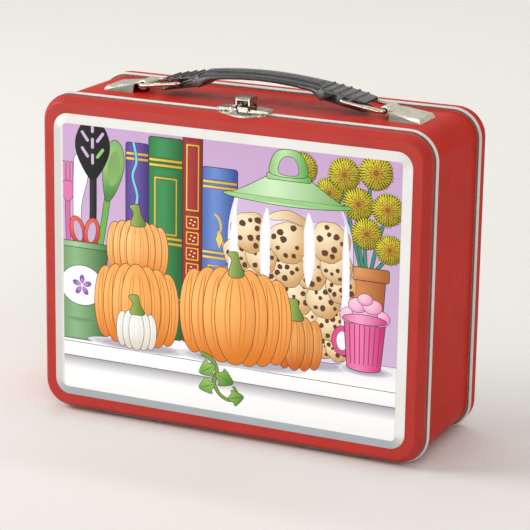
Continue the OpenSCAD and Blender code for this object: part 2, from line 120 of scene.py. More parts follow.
class Shader:
    """A material under construction: nodes by type, links by socket name."""

    def __init__(self, name, **surface):
        self.material = bpy.data.materials.new(name)
        self.material.use_nodes = True
        self.tree = self.material.node_tree
        self.surface = self.tree.nodes["Principled BSDF"]
        for key, value in surface.items():
            self.surface.inputs[key.replace("_", " ")].default_value = value

    @classmethod
    def around(cls, material):
        """Takes up an existing material again."""
        made = cls.__new__(cls)
        made.material = material
        made.tree = material.node_tree
        made.surface = made.tree.nodes["Principled BSDF"]
        return made

    def node(self, kind, **values):
        made = self.tree.nodes.new(kind)
        for key, value in values.items():
            if key in made.bl_rna.properties:
                setattr(made, key, value)
            else:
                made.inputs[key.replace("_", " ")].default_value = value
        return made

    def link(self, source, output, target, socket):
        self.tree.links.new(source.outputs[output], target.inputs[socket])

    def multiply(self, first, second):
        """The product of two nodes' colours, led into the base colour."""
        blend = self.node("ShaderNodeMix", data_type="RGBA", blend_type="MULTIPLY", Factor=1)
        self.tree.links.new(first.outputs["Color"], blend.inputs[MIX_A])
        self.tree.links.new(second.outputs["Color"], blend.inputs[MIX_B])
        self.tree.links.new(blend.outputs[MIX_RESULT], self.surface.inputs["Base Color"])

    def noise(self, scale, detail=3.0, roughness=0.5, stretch=None):
        place = self.node("ShaderNodeTexCoord")
        made = self.node("ShaderNodeTexNoise", Scale=scale, Detail=detail, Roughness=roughness)
        if stretch:
            mapping = self.node("ShaderNodeMapping")
            mapping.inputs["Scale"].default_value = stretch
            self.link(place, "Object", mapping, "Vector")
            self.link(mapping, "Vector", made, "Vector")
        else:
            self.link(place, "Object", made, "Vector")
        return made

    def ramp(self, source, output, stops):
        made = self.node("ShaderNodeValToRGB")
        ramp = made.color_ramp
        while len(ramp.elements) < len(stops):
            ramp.elements.new(0.5)
        for element, (place, colour) in zip(ramp.elements, stops):
            element.position = place
            element.color = (*colour, 1) if len(colour) == 3 else colour
        self.link(source, output, made, "Fac")
        return made

    def grey_ramp(self, source, output, low, high, start=0.3, stop=0.7):
        return self.ramp(source, output, [(start, [low] * 3), (stop, [high] * 3)])

    def bump(self, source, output, strength, distance, after=None):
        made = self.node("ShaderNodeBump", Strength=strength, Distance=distance)
        self.link(source, output, made, "Height")
        if after:
            self.link(after, "Normal", made, "Normal")
        self.link(made, "Normal", self.surface, "Normal")
        return made


def enamel(name, colour, shade, roughness, sheen):
    """Stoved enamel on tinplate: a slow tint drift, smudges in the gloss and faint orange peel."""
    s = Shader(name, IOR=1.5)
    s.surface.inputs["Specular IOR Level"].default_value = sheen
    drift = s.noise(38, 3)
    tint = s.ramp(drift, "Fac", [(0.35, linear(shade)), (0.65, linear(colour))])
    s.link(tint, "Color", s.surface, "Base Color")
    smudge = s.noise(90, 4, 0.6)
    rough = s.grey_ramp(smudge, "Fac", roughness - 0.05, roughness + 0.06)
    s.link(rough, "Color", s.surface, "Roughness")
    wave = s.noise(160, 2)
    first = s.bump(wave, "Fac", 0.1, 0.0002)
    peel = s.noise(1500, 2)
    s.bump(peel, "Fac", 0.05, 0.00005, first)
    return s.material


def plated(name, colour, shade, roughness, scratch=0.15):
    """Dull nickel or steel: brushed grain, cloudy tarnish and fine scratches."""
    s = Shader(name, Metallic=1.0)
    cloud = s.noise(260, 5, 0.65)
    tint = s.ramp(cloud, "Fac", [(0.32, linear(shade)), (0.62, linear(colour))])
    s.link(tint, "Color", s.surface, "Base Color")
    grain = s.noise(900, 3, 0.6, (0.06, 1, 1))
    rough = s.grey_ramp(grain, "Fac", roughness - 0.07, roughness + 0.12)
    s.link(rough, "Color", s.surface, "Roughness")
    s.bump(grain, "Fac", scratch, 0.00004)
    return s.material


def hem_enamel(name, colour, shade, crease_shade_colour, roughness):
    """Enamel on the rolled beads, with painted shade darkening the creases along both of their sides."""
    material = enamel(name, colour, shade, roughness, 0.4)
    s = Shader.around(material)
    tint = s.surface.inputs["Base Color"].links[0].from_node
    # Painted shade: the colour darkens to a dark brown where the bead's flanks turn to face front or back
    # against the walls, unevenly along their length.
    face = s.node("ShaderNodeNewGeometry")
    split = s.node("ShaderNodeSeparateXYZ")
    s.link(face, "Normal", split, "Vector")
    steep = s.node("ShaderNodeMath", operation="ABSOLUTE")
    s.tree.links.new(split.outputs["Y"], steep.inputs[0])
    wander = s.noise(700, 3)
    uneven = s.node("ShaderNodeMath", operation="MULTIPLY_ADD")
    s.tree.links.new(wander.outputs["Fac"], uneven.inputs[0])
    uneven.inputs[1].default_value = 0.1
    s.tree.links.new(steep.outputs["Value"], uneven.inputs[2])
    crease_shade_mask = s.grey_ramp(uneven, "Value", 0.0, 0.85, 0.96, 1.03)
    blend = s.node("ShaderNodeMix", data_type="RGBA")
    s.link(crease_shade_mask, "Color", blend, "Factor")
    s.tree.links.new(tint.outputs["Color"], blend.inputs[MIX_A])
    blend.inputs[MIX_B].default_value = (*linear(crease_shade_colour), 1)
    s.tree.links.new(blend.outputs[MIX_RESULT], s.surface.inputs["Base Color"])
    return material


def panel_enamel(name, roughness):
    """White enamel on the bevelled panels, with painted light by facing: grey on the lower bevel, light grey on
    the left one, brightest on the right one.
    """
    material = enamel(name, "FDFDFD", "F8F6F3", roughness, 0.3)
    s = Shader.around(material)
    tint = s.surface.inputs["Base Color"].links[0].from_node
    # Painted light and shade: the colour follows the way each face turns, darker facing down or left, lighter
    # facing right or up.
    coords = s.node("ShaderNodeTexCoord")
    lean = s.node("ShaderNodeVectorMath", operation="DOT_PRODUCT")
    s.tree.links.new(coords.outputs["Normal"], lean.inputs[0])
    lean.inputs[1].default_value = (0.5, 0, 1.2)
    level = s.node("ShaderNodeMath", operation="ADD")
    s.tree.links.new(lean.outputs["Value"], level.inputs[0])
    level.inputs[1].default_value = 0.5
    painted_bevel_tones = [(0.16, "B2BAC1"), (0.36, "C9C9C7"), (0.5, "E0DFDC"), (0.64, "FAFAF9"), (0.84, "E6E5E3")]
    painted_bevel_shade = s.ramp(level, "Value", [(at, linear(colour)) for at, colour in painted_bevel_tones])
    s.multiply(tint, painted_bevel_shade)
    return material


def moulded(name, colour, shade, roughness):
    """Moulded plastic with a fine spark-eroded grain and handling shine."""
    s = Shader(name, IOR=1.55)
    s.surface.inputs["Specular IOR Level"].default_value = 0.7
    cloud = s.noise(120, 4, 0.6)
    tint = s.ramp(cloud, "Fac", [(0.3, linear(shade)), (0.7, linear(colour))])
    s.link(tint, "Color", s.surface, "Base Color")
    rough = s.grey_ramp(cloud, "Fac", roughness - 0.06, roughness + 0.08)
    s.link(rough, "Color", s.surface, "Roughness")
    grain = s.noise(3200, 2)
    s.bump(grain, "Fac", 0.2, 0.00004)
    return s.material


def printed():
    """The coated print: the inks are in the mesh's colours, with a fine paper tooth under the varnish."""
    s = Shader("printed_sheet", IOR=1.5)
    s.surface.inputs["Specular IOR Level"].default_value = 0.2
    inks = s.node("ShaderNodeVertexColor", layer_name="ink")
    tooth = s.noise(2600, 2)
    shade = s.grey_ramp(tooth, "Fac", 0.955, 1.0)
    s.multiply(inks, shade)
    rough = s.grey_ramp(tooth, "Fac", 0.38, 0.46)
    s.link(rough, "Color", s.surface, "Roughness")
    return s.material


# One red enamel in two copies that differ by painted light: the body's copy is painted lighter, with almost no
# sheen, so that its shaded right side comes up to the front's brightness; the cover's copy is darker, with more
# sheen.
BODY_RED_PAINTED_LIGHTER = enamel("body_red_painted_lighter", "C42D21", "BE2A1F", 0.32, 0.02)
COVER_RED_PAINTED_DARKER = enamel("cover_red_painted_darker", "B62A1F", "AF271C", 0.44, 0.36)
# The dark brown 5A4C44 is painted shade in the creases beside the beads.
CREAM = hem_enamel("cream_enamel", "DEDCD9", "D2CFCA", "5A4C44", 0.26)
WHITE = panel_enamel("white_enamel", 0.34)
# The latch's nickel is a darker copy of the brackets' nickel: painted shade standing in for the dark
# reflections on the latch.
LATCH_NICKEL_PAINTED_DARKER = plated("latch_nickel_painted_darker", "C8C4B6", "A29C8C", 0.2, 0.12)
NICKEL = plated("nickel_plate", "DAD6C8", "C4BFB0", 0.24, 0.08)
STEEL = plated("bare_steel", "8E8C88", "6C6A66", 0.35)
SPRING = plated("spring_steel", "7C8088", "5C6068", 0.28)
GRIP = moulded("grip_plastic", "3A3B3D", "2C2D2F", 0.27)
PRINT = printed()


def dress(material, *nodes):
    """Gives CAD nodes their material."""
    for name in nodes:
        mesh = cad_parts[name].data
        mesh.materials.clear()
        mesh.materials.append(material)


# ---- The printed picture: an own still life, painted as flush shapes ----

class Picture:
    """Shapes in millimetres from the middle of the sheet, each painted over those before it."""

    def __init__(self):
        self.shapes = []

    def fill(self, points, paint):
        outline = [Vector(p) for p in points]
        if turning(outline) < 0:
            outline.reverse()
        self.shapes.append((outline, paint))

    def inked(self, points, paint, line=0.3, ink=None):
        self.fill(grown(points, line), plain(ink or INK))
        self.fill(points, paint)

    def stroke(self, points, width, paint):
        self.fill(ribbon(points, width), paint)


def plain(code):
    """One colour all over."""
    colour = linear(code)
    return lambda p: colour


def across(left, right, low, high):
    """Shades from one colour to another between two x values."""
    a, b = linear(left), linear(right)
    return lambda p: mixed(a, b, (p.x - low) / (high - low))


def upward(bottom, top, low, high):
    """The same between two y values."""
    a, b = linear(bottom), linear(top)
    return lambda p: mixed(a, b, (p.y - low) / (high - low))


def ball(light, dark, centre, radius):
    """Shades a round thing from its lit upper left to its far edge."""
    a, b = linear(light), linear(dark)
    spot = Vector(centre) + Vector((-0.35, 0.4)) * radius
    return lambda p: mixed(a, b, ((p - spot).length / (1.35 * radius)) ** 1.4)


def round_bar(edge, middle, low, high):
    """Shades an upright cylinder: light a third of the way across, dark at both edges."""
    a, b = linear(edge), linear(middle)
    return lambda p: mixed(b, a, abs((p.x - low) / (high - low) - 0.36) * 1.7)


def ellipse(x, y, rx, ry, count=40, start=0.0, stop=360.0, turn=0.0):
    whole = abs(stop - start) >= 360
    steps = count if whole else count - 1
    out = []
    for i in range(count):
        a = math.radians(start + (stop - start) * i / steps)
        p = Vector((rx * math.cos(a), ry * math.sin(a)))
        p.rotate(Matrix.Rotation(math.radians(turn), 2))
        out.append(p + Vector((x, y)))
    return out


def box_shape(x0, y0, x1, y1, r):
    """A rectangle with rounded corners."""
    left, right, low, high = x0 + r, x1 - r, y0 + r, y1 - r
    out = []
    for x, y, start in ((right, low, -90), (right, high, 0), (left, high, 90), (left, low, 180)):
        out += ellipse(x, y, r, r, 5, start, start + 90)
    return out


def smooth(points, closed=True, steps=6):
    """A Catmull-Rom curve through the points."""
    p = [Vector(q) for q in points]
    n = len(p)
    out = []
    for i in range(n if closed else n - 1):
        a, b, c, d = (p[(i + k) % n] if closed else p[min(max(i + k, 0), n - 1)] for k in (-1, 0, 1, 2))
        for j in range(steps):
            t = j / steps
            out.append(0.5 * (2 * b + (c - a) * t + (2 * a - 5 * b + 4 * c - d) * t * t
                              + (3 * b - a - 3 * c + d) * t ** 3))
    if not closed:
        out.append(p[-1])
    return out


def turning(points):
    """Twice the outline's area, positive when it runs anticlockwise."""
    return sum(points[i - 1][0] * points[i][1] - points[i][0] * points[i - 1][1] for i in range(len(points)))


def grown(points, amount):
    """The outline moved outwards by amount."""
    p = [Vector(q) for q in points]
    n = len(p)
    side = amount if turning(p) > 0 else -amount
    out = []
    for i in range(n):
        a = (p[i] - p[i - 1]).normalized()
        b = (p[(i + 1) % n] - p[i]).normalized()
        normal = Vector((a.y + b.y, -a.x - b.x))
        if normal.length < 0.2:
            normal = Vector((a.y, -a.x))
        normal.normalize()
        stretch = max(normal.x * a.y - normal.y * a.x, 0.5)
        out.append(p[i] + normal * (side / stretch))
    return out


def ribbon(points, width):
    """A pen line through the points, tapered at both ends; width is a number or a function of 0 to 1."""
    p = [Vector(q) for q in points]
    n = len(p)
    left, right = [], []
    for i in range(n):
        t = i / (n - 1)
        w = width(t) if callable(width) else width * min(1, 0.35 + 4 * min(t, 1 - t))
        ahead = (p[min(i + 1, n - 1)] - p[max(i - 1, 0)]).normalized()
        normal = Vector((-ahead.y, ahead.x)) * w / 2
        left.append(p[i] + normal)
        right.append(p[i] - normal)
    return left + right[::-1]


def add_piece(mesh, material, body, node):
    """Puts a mesh in the scene in place of a CAD node, riding on its body."""
    mesh.materials.append(material)
    piece = bpy.data.objects.new(mesh.name, mesh)
    bpy.context.collection.objects.link(piece)
    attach(piece, body)
    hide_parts(node)
    return piece


INK = "2A2230"
HALF_W = (PRINT_HIGH.x - PRINT_LOW.x) / 2 / MM
HALF_H = (PRINT_HIGH.z - PRINT_LOW.z) / 2 / MM
# Heights on the sheet
SHELF_BACK = -29.5
SHELF_EDGE = -41
FASCIA_LOW = -48
BOOK_BASE = SHELF_BACK - 3
POT_TOP = 7
STEM_FOOT = POT_TOP - 4
# Colours that more than one shape uses
WALL = "C9A6D0"
GAP = "CEB1D6"
WHITE_GLAZE = "FBFBFC"


def angles(count):
    return [math.tau * i / count for i in range(count)]


def paint_room(art):
    """The wall, the shelf's top, its front edge and the fascia in its shade."""
    w, h = HALF_W + 1, HALF_H + 1
    line = 0.4
    shade_low = FASCIA_LOW - 6.5

    def level(y, paint):
        art.fill([(-w, -h), (w, -h), (w, y), (-w, y)], paint)

    level(h, upward("D0B7D7", WALL, -30, 64))
    level(SHELF_BACK, upward("FFFFFF", "E9E7EE", SHELF_EDGE, SHELF_BACK))
    level(SHELF_EDGE, plain("6A6470"))
    level(SHELF_EDGE - 0.35, upward("F7F7F9", "FFFFFF", FASCIA_LOW, SHELF_EDGE))
    level(FASCIA_LOW, plain("6A6470"))
    level(FASCIA_LOW - line, upward("FAFAFB", "A3A2A8", shade_low, FASCIA_LOW))
    level(shade_low, upward("F6F6F7", WHITE_GLAZE, -h, shade_low))
    art.stroke([(-w, SHELF_BACK), (0, SHELF_BACK), (w, SHELF_BACK)], lambda t: 0.3, plain("8C8494"))


def paint_book(art, x0, x1, top, cover, light, bands, panel=None):
    """A closed book seen on its spine, with plain gilt bands and a gilt frame."""
    gilt = across("F8D552", "C79A22", x0, x1)
    cloth = round_bar(cover, light, x0, x1)
    art.inked(box_shape(x0, BOOK_BASE, x1, top, 1.2), cloth, 0.35)
    for y in bands:
        for low in (y, y + 2.4):
            art.inked(box_shape(x0 + 0.2, low, x1 - 0.2, low + 1.1, 0.2), gilt, 0.12)
    if panel:
        low, high = panel
        left = x0 + (x1 - x0) * 0.16
        right = x1 - (x1 - x0) * 0.16
        rim = 0.8
        art.inked(box_shape(left, low, right, high, 0.3), gilt, 0.12)
        art.inked(box_shape(left + rim, low + rim, right - rim, high - rim, 0.3), cloth, 0.12)


def paint_tile(art, y):
    """A small gilt square with four dots, for the red book's spine."""
    art.inked(box_shape(-20.4, y, -13.9, y + 6, 0.3), plain("E8BE3A"), 0.12)
    art.inked(box_shape(-19.7, y + 0.7, -14.6, y + 5.3, 0.3), plain("A8242A"), 0.12)
    for a in angles(4):
        turn = a + 0.4
        dot = ellipse(-17.15 + 1.3 * math.cos(turn), y + 3 + 1.3 * math.sin(turn), 0.6, 0.4, 8)
        art.fill(dot, plain("F6DFA0"))


def scroll_point(side, t):
    """A point on a gilt scroll that winds outwards as t goes from 0 to 1."""
    reach = 0.6 + 2.1 * t
    return -3.4 + side * reach * math.cos(3.6 * t), 22 + 9 * t * side + reach * math.sin(3.6 * t)


def paint_books(art):
    paint_book(art, -51.4, -39.8, 58.5, "44307A", "6E58AA", (-18, 50.5))
    paint_book(art, -39.5, -22.3, 62.5, "1E6430", "44955A", (-16, 12.5, 49), (17, 44))
    paint_book(art, -22, -12.3, HALF_H + 4, "84181C", "AE383E", (-18,), (30, 61))
    for i in range(5):
        paint_tile(art, -8 + 7.4 * i)
    paint_book(art, -12, 5.4, 51.5, "2C4B94", "7090D4", (9, 42), (-20, 6))
    for side in (-1, 1):
        art.stroke([scroll_point(side, k / 12) for k in range(13)], 1.0, plain("E8C24A"))
    art.inked([(-3.4, 14), (-1.6, 18.5), (-3.4, 23), (-5.2, 18.5)], plain("EFD060"), 0.15)
    marker = smooth([(-47.6, 59), (-46, 50), (-48, 43), (-45.6, 34), (-46.8, 27)], False)
    art.stroke(marker, lambda t: 1.9, plain(INK))
    art.stroke(marker, lambda t: 1.3, plain("7CCBEC"))


def slot_mark(art, x, y, length, turn, code):
    """A round-ended slot, like the openings of a slotted turner."""
    spin = Matrix.Rotation(math.radians(turn), 2)
    slot = box_shape(-0.75, -length / 2, 0.75, length / 2, 0.74)
    art.inked([spin @ p + Vector((x, y)) for p in slot], plain(code), 0.15)


def paint_fork(art):
    art.inked(ribbon([(-82, STEM_FOOT), (-82.4, 24), (-82.2, 33)], lambda t: 2.2), plain("D66BA8"))
    for x in (-84.2, -82.2, -80.2):
        art.inked(box_shape(x - 0.6, 30, x + 0.6, 46, 0.6), plain("E482BC"), 0.25)
    palm = smooth([(-85, 30), (-85, 36), (-79.6, 36), (-79.6, 30), (-82.2, 27)])
    art.inked(palm, plain("DE78B4"), 0.25)


def paint_scraper(art):
    blade = smooth([(-79, POT_TOP), (-79, 44), (-77, 50), (-73, 50), (-71.6, 40), (-75, 26), (-76, POT_TOP)])
    art.inked(blade, plain("FBFAFC"))


def paint_spoon(art):
    art.inked(ribbon([(-66, STEM_FOOT), (-62.6, 22), (-61, 32)], lambda t: 2.8), plain("6FB04C"))
    bowl = smooth([(-62.5, 31), (-63.6, 44), (-61, 55), (-57, 58.6), (-53.4, 55), (-52.6, 46),
                   (-56, 36), (-60, 30)])
    art.inked(bowl, ball("9CC87C", "4C8A3A", (-58, 45), 13))
    hollow = ellipse(-57.8, 45.4, 3.2, 8.4, 30, turn=-8)
    art.fill(hollow, ball("7EA262", "86B466", (-57, 46), 8))


def paint_turner(art):
    stem = ribbon([(-69.4, STEM_FOOT), (-68.8, 24), (-68.7, 42)], lambda t: 3.2)
    art.inked(stem, across("36343A", "0E0D10", -70.5, -67))
    blade = smooth([(-69, 38.5), (-73.4, 43), (-77.4, 51), (-77.6, 58), (-74, 65), (-69, 67), (-64, 65),
                    (-60.4, 58), (-60.6, 51), (-64.6, 43)])
    art.inked(blade, across("1E1C20", "060607", -78, -60))
    for y in (48.5, 56):
        slot_mark(art, -69, y, 5.2, 0, GAP)
        slot_mark(art, -73, y + 3, 6, 38, GAP)
        slot_mark(art, -65, y + 3, 6, -38, GAP if y > 50 else "8CC766")
    slot_mark(art, -69, 62.5, 3.4, 0, GAP)


def paint_scissors(art):
    for x, turn in ((-77, 14), (-69.6, -10)):
        art.inked(ellipse(x, 13, 4, 7.4, 30, turn=turn), ball("EE6A58", "B82A20", (x, 14), 8))
        art.inked(ellipse(x, 13.4, 2.1, 5, 24, turn=turn), plain("C8AFD0"), 0.2)


def paint_utensil_pot(art):
    """A green pot with a round label that bears a plain five-petalled flower."""
    left, right, base = -HALF_W - 3, -61.5, SHELF_EDGE + 0.6
    body = [(left, base + 1), (right - 1, base + 1), (right, POT_TOP), (left, POT_TOP)]
    art.inked(body, round_bar("3F6E3A", "8FB987", left, right), 0.4)
    rim = box_shape(left, POT_TOP - 1.6, right + 0.6, POT_TOP + 1, 0.5)
    art.inked(rim, round_bar("4E8246", "A8CF9C", left, right))
    art.inked(ellipse(-75, -13, 11.4, 9.6), plain(WHITE_GLAZE))
    for size, code in ((5.2, "8A5AA6"), (3.4, "B48ACA")):
        for a in angles(5):
            turn = a + 0.3
            x = -75 + size * 0.6 * math.cos(turn)
            y = -13 + size * 0.6 * math.sin(turn)
            art.fill(ellipse(x, y, size * 0.42, size * 0.26, 14, turn=math.degrees(turn)), plain(code))


def paint_cookie(art, x, y, r, rng):
    """A round biscuit with a slightly wavy rim and eight scattered chips."""
    rim = []
    for a in angles(28):
        reach = r * (1 + 0.05 * math.sin(3 * a + x) + 0.03 * math.sin(7 * a + y))
        rim.append((x + reach * math.cos(a), y + reach * math.sin(a)))
    art.inked(rim, ball("FBEBC8", "D2A368", (x, y), r), 0.22)
    placed = []
    while len(placed) < 8:
        p = Vector((rng.uniform(-0.75, 0.75) * r, rng.uniform(-0.75, 0.75) * r))
        if p.length < 0.78 * r and all((p - q).length > 0.36 * r for q in placed):
            placed.append(p)
    for p in placed:
        size = rng.uniform(0.1, 0.19) * r
        lump = [(x + p.x + size * rng.uniform(0.75, 1.1) * math.cos(a),
                 y + p.y + size * rng.uniform(0.75, 1.1) * math.sin(a)) for a in angles(7)]
        art.inked(lump, plain("5E3A26"), 0.12)


def paint_jar(art, rng):
    """A glass jar of biscuits, with its highlights painted on and a green lid."""
    x0, x1, base, shoulder, neck = 1.0, 62.5, -32.0, 24.0, 39.0
    mid = (x0 + x1) / 2
    right_side = [(x1 - 9, base), (x1 - 2, base + 4), (x1 - 0.6, -5), (x1, shoulder), (x1 - 5, neck)]
    left_side = [(x0 + 3, neck), (x0, shoulder), (x0 + 0.6, -5), (x0 + 2, base + 4), (x0 + 10, base)]
    glass = [(x0 + 10, base)] + smooth(right_side, False, 5) + smooth(left_side, False, 5)[:-1]
    art.inked(glass, across("EFE9F6", "E0D0EC", x0, x1), 0.3, "5A5668")
    empty = [(x0 + 5, neck), (x0 + 4, shoulder + 8), (x1 - 4, shoulder + 8), (x1 - 6, neck)]
    art.fill(empty, across("D6BDDC", "CCADD4", x0, x1))
    rows = ((-24, (48, 56.5), 6.6), (-14, (42, 53), 8), (-3, (36, 49), 8.4), (4, (10, 24, 57), 7.4),
            (9, (42, 31), 8.2), (13, (6.5, 18, 55), 7.8), (24, (12, 51.5), 9.4), (21.5, (31,), 9.6))
    for y, places, r in rows:
        for x in places:
            paint_cookie(art, x, y, r, rng)
    top_cookie = smooth([(22, 33.5), (31, 36), (41, 32), (40, 29.4), (31, 31.6), (23, 31)])
    art.inked(top_cookie, across("F7E6C2", "CE9F66", 22, 41), 0.22)
    streaks = ((x0 + 2.6, 4.4, base + 6, neck - 4), (19.5, 5.2, -2, neck - 3), (41.5, 5.6, 2, neck - 3),
               (x1 - 3, 3.6, base + 8, neck - 6))
    for x, wide, low, high in streaks:
        lean = 1 if x < mid else -1
        line = smooth([(x + 0.6 * lean, low), (x, (low + high) / 2), (x + 0.8 * lean, high)], False)
        for share, code in ((1, "F3ECF6"), (0.72, "F9F5FB"), (0.46, "FFFFFF")):
            art.stroke(line, lambda t: wide * share * min(1, 0.15 + 3 * min(t, 1 - t)), plain(code))
    collar = smooth([(x0 + 0.5, 41.6), (x0 + 2, 39.6), (mid, 38), (x1 - 5, 39.4), (x1 - 3.6, 41.4),
                     (mid, 42.4)])
    art.inked(collar, round_bar("6FB65A", "C8EDB4", x0, x1))
    lid = [(x0 + 1.6, 41.4), (x1 - 5, 41.2), (x1 - 12, 45), (41.5, 50.6), (20, 50.6), (x0 + 9, 45)]
    art.inked(lid, round_bar("68A852", "D2EEC4", x0, x1))
    art.inked(box_shape(20, 49.8, 41.5, 52.4, 0.8), round_bar("64AC50", "C8EDB4", 20, 41.5))
    knob = smooth([(22.5, 52), (22, 58), (25, 62.6), (30.5, 63.8), (36, 62.6), (39, 58), (38.5, 52)])
    art.inked(knob, round_bar("5FA84C", "BFE8AA", 21, 40))
    hole = smooth([(26.4, 52.6), (26, 57), (28, 60), (30.5, 60.6), (33, 60), (35, 57), (34.6, 52.6)])
    art.inked(hole, plain(WALL), 0.25)


def paint_bloom(art, x, y, r, rng):
    """A shaggy round bloom: rings of thin petals, the inner ones over the outer."""
    rings = ((0.92, 34, "E6DA34", "8E7E12"), (0.72, 28, "EADC3C", "86740E"), (0.5, 20, "E8D23C", "8A6C10"),
             (0.28, 12, "D8A838", "8A5A10"))
    art.fill(ellipse(x, y, r * 0.9, r * 0.9, 30), plain("33300A"))
    for reach, count, light, dark in rings:
        start = rng.uniform(0, 360 / count)
        for i in range(count):
            a = math.radians(start + 360 * i / count)
            reached = r * reach * rng.uniform(0.94, 1.06)
            petal = ellipse(x + math.cos(a) * reached * 0.84, y + math.sin(a) * reached * 0.84,
                            r * 0.17, r * 0.052, 7, turn=math.degrees(a))
            art.inked(petal, ball(light, dark, (x, y), r * 1.25), 0.13, "3A3406")
    art.fill(ellipse(x, y, r * 0.16, r * 0.16, 10), plain("8E6416"))


def paint_flowers(art, rng):
    """Yellow blooms on teal stems in a clay pot."""
    stems = ([(67, 12), (62, 30), (57, 50)], [(69, 12), (68, 30), (70, 52)], [(71, 12), (74, 26), (78, 40)],
             [(68, 12), (65, 26), (64, 40)], [(72, 12), (77, 18), (81, 24)])
    for points in stems:
        art.stroke(smooth(points, False), lambda t: 1.9, plain(INK))
        art.stroke(smooth(points, False), lambda t: 1.3, plain("3F8F78"))
    blooms = ((37, 56, 8.4), (50.5, 46.5, 7.6), (57.5, 55.5, 8.4), (72.5, 58, 8.8), (64.5, 43, 8.2),
              (78.5, 42, 8.2), (68.8, 30, 8), (80, 24, 7.4))
    for x, y, r in blooms:
        paint_bloom(art, x, y, r, rng)
    left, right, base, top = 58.0, 79.0, SHELF_BACK - 1, 14.5
    body = [(left + 3, base), (right - 3, base), (right - 0.6, top - 5), (left + 0.6, top - 5)]
    art.inked(body, round_bar("A45A28", "D98E54", left, right), 0.35)
    rim = box_shape(left - 1, top - 5.6, right + 1, top, 0.8)
    art.inked(rim, round_bar("AE6430", "DE9A60", left, right), 0.35)


def paint_pumpkin(art, x, y, rx, ry, ribs, light="FFC070", dark="DC7A22", line="7A3A0E", stalk=True):
    """A ribbed pumpkin: side lobes first, the middle one last, each with its own shading."""
    for i in sorted(range(-ribs, ribs + 1), key=lambda i: -abs(i)):
        t = i / (ribs + 0.4)
        cx = x + rx * 0.78 * t
        lobe = ellipse(cx, y, rx * (0.34 - 0.1 * abs(t)), ry * (1 - 0.17 * t * t), 44)
        art.inked(lobe, ball(light, dark, (cx - rx * 0.05, y), ry * 0.95), 0.32, line)
        for share in (-0.17, -0.09, 0.1, 0.18):
            bow = [(cx + rx * share * math.sin(a), y + ry * 0.84 * math.cos(a)) for a in
                   (math.pi * (0.1 + 0.8 * k / 12) for k in range(13))]
            art.stroke(bow, 0.012 * rx * (2 - 4 * abs(share)), plain(dark))
    if stalk:
        tip = y + ry
        outline = [(x - 3.4, y + ry * 0.86), (x - 2, tip + 3.4), (x - 4, tip + 6.6), (x + 0.6, tip + 7.4),
                   (x + 1.8, tip + 3.4), (x + 4.2, y + ry * 0.88), (x, y + ry * 0.8)]
        art.inked(smooth(outline), across("9DB45A", "5A7A30", x - 3, x + 4))


def paint_leaf(art, x, y, size, turn):
    """A lobed leaf with its vein, one unit long before it is sized."""
    spin = Matrix.Rotation(math.radians(turn), 2)
    root = Vector((x, y))
    half = [(0.3, 0.28), (0.34, 0.46), (0.62, 0.34)]
    leaf = [(0, 0)] + half + [(1, 0)] + [(along, -out) for along, out in reversed(half)]
    art.inked([spin @ p * size + root for p in smooth(leaf)], ball("9CCB62", "4A8530", (x, y), size), 0.25)
    art.stroke([spin @ Vector((t * size, 0)) + root for t in (0, 0.45, 0.9)], 0.4, plain("3E6E2A"))


def paint_vine(art):
    """A curling vine that trails from the pumpkins over the shelf's edge."""
    path = smooth([(-12, -37), (-7, -39), (-4, -44), (-5.4, -50), (-2.4, -55.5), (3, -57.6), (6.4, -54),
                   (4.4, -50.6)], False)
    art.stroke(path, lambda t: 2.6 - 1.2 * t, plain(INK))
    art.stroke(path, lambda t: 2.0 - 1.1 * t, plain("7E9C3E"))
    for x, y, size, turn in ((-5, -42, 9, -150), (-4.6, -46, 9.5, -20), (-5, -51, 8.5, -160), (2, -57, 8, 15)):
        paint_leaf(art, x, y, size, turn)


def paint_cup(art):
    """A ribbed mug heaped with pink froth."""
    left, right, base, top = 59.0, 79.0, -33.0, -9.0
    mid, half = (left + right) / 2, (right - left) / 2
    handle_x, handle_y = left - 0.6, (base + top) / 2 + 0.4
    art.inked(ellipse(handle_x, handle_y, 5, 6.8), plain("E0508E"))
    art.inked(ellipse(handle_x, handle_y, 2.8, 4.4), plain("F6F5F8"), 0.22)
    foot = ellipse(mid, base + 1.2, half - 2.2, 1.8, 12, 200, 340)
    body = [(left + 2, base + 1)] + foot + [(right - 2, base + 1), (right, top), (left, top)]
    art.inked(body, round_bar("C2306E", "F283B6", left, right), 0.35)
    for i in range(7):
        x = left + 2.6 + 2.5 * i
        art.stroke([(x, top - 3), (x + (mid - x) * 0.14, base + 2.6)], lambda t: 0.5, plain("B02A66"))
    for x, y, r in ((-7, 1, 5), (7, 1, 5), (0, 2.6, 6), (-3.4, 6, 4.6), (3.6, 6, 4.6), (0, 9, 3.6)):
        puff = ellipse(mid + x, top + y, r, r * 0.72)
        art.inked(puff, ball("FBD3E6", "E88ABA", (mid + x, top + y), r), 0.25)
    art.inked(ellipse(mid, top - 0.4, half + 0.4, 2.2), round_bar("D04684", "F7A8CC", left, right))


def paint_shadows(art):
    for x, y, rx, ry in ((-45, -38.6, 27, 2.6), (8, -38, 33, 3.2), (40, -33.4, 24, 3.4), (70, -33, 13, 2.6)):
        for share, code in ((1, "DCDAE2"), (0.86, "C6C3CE"), (0.7, "B2AEBB")):
            art.fill(ellipse(x, y, rx * share, ry * share), plain(code))


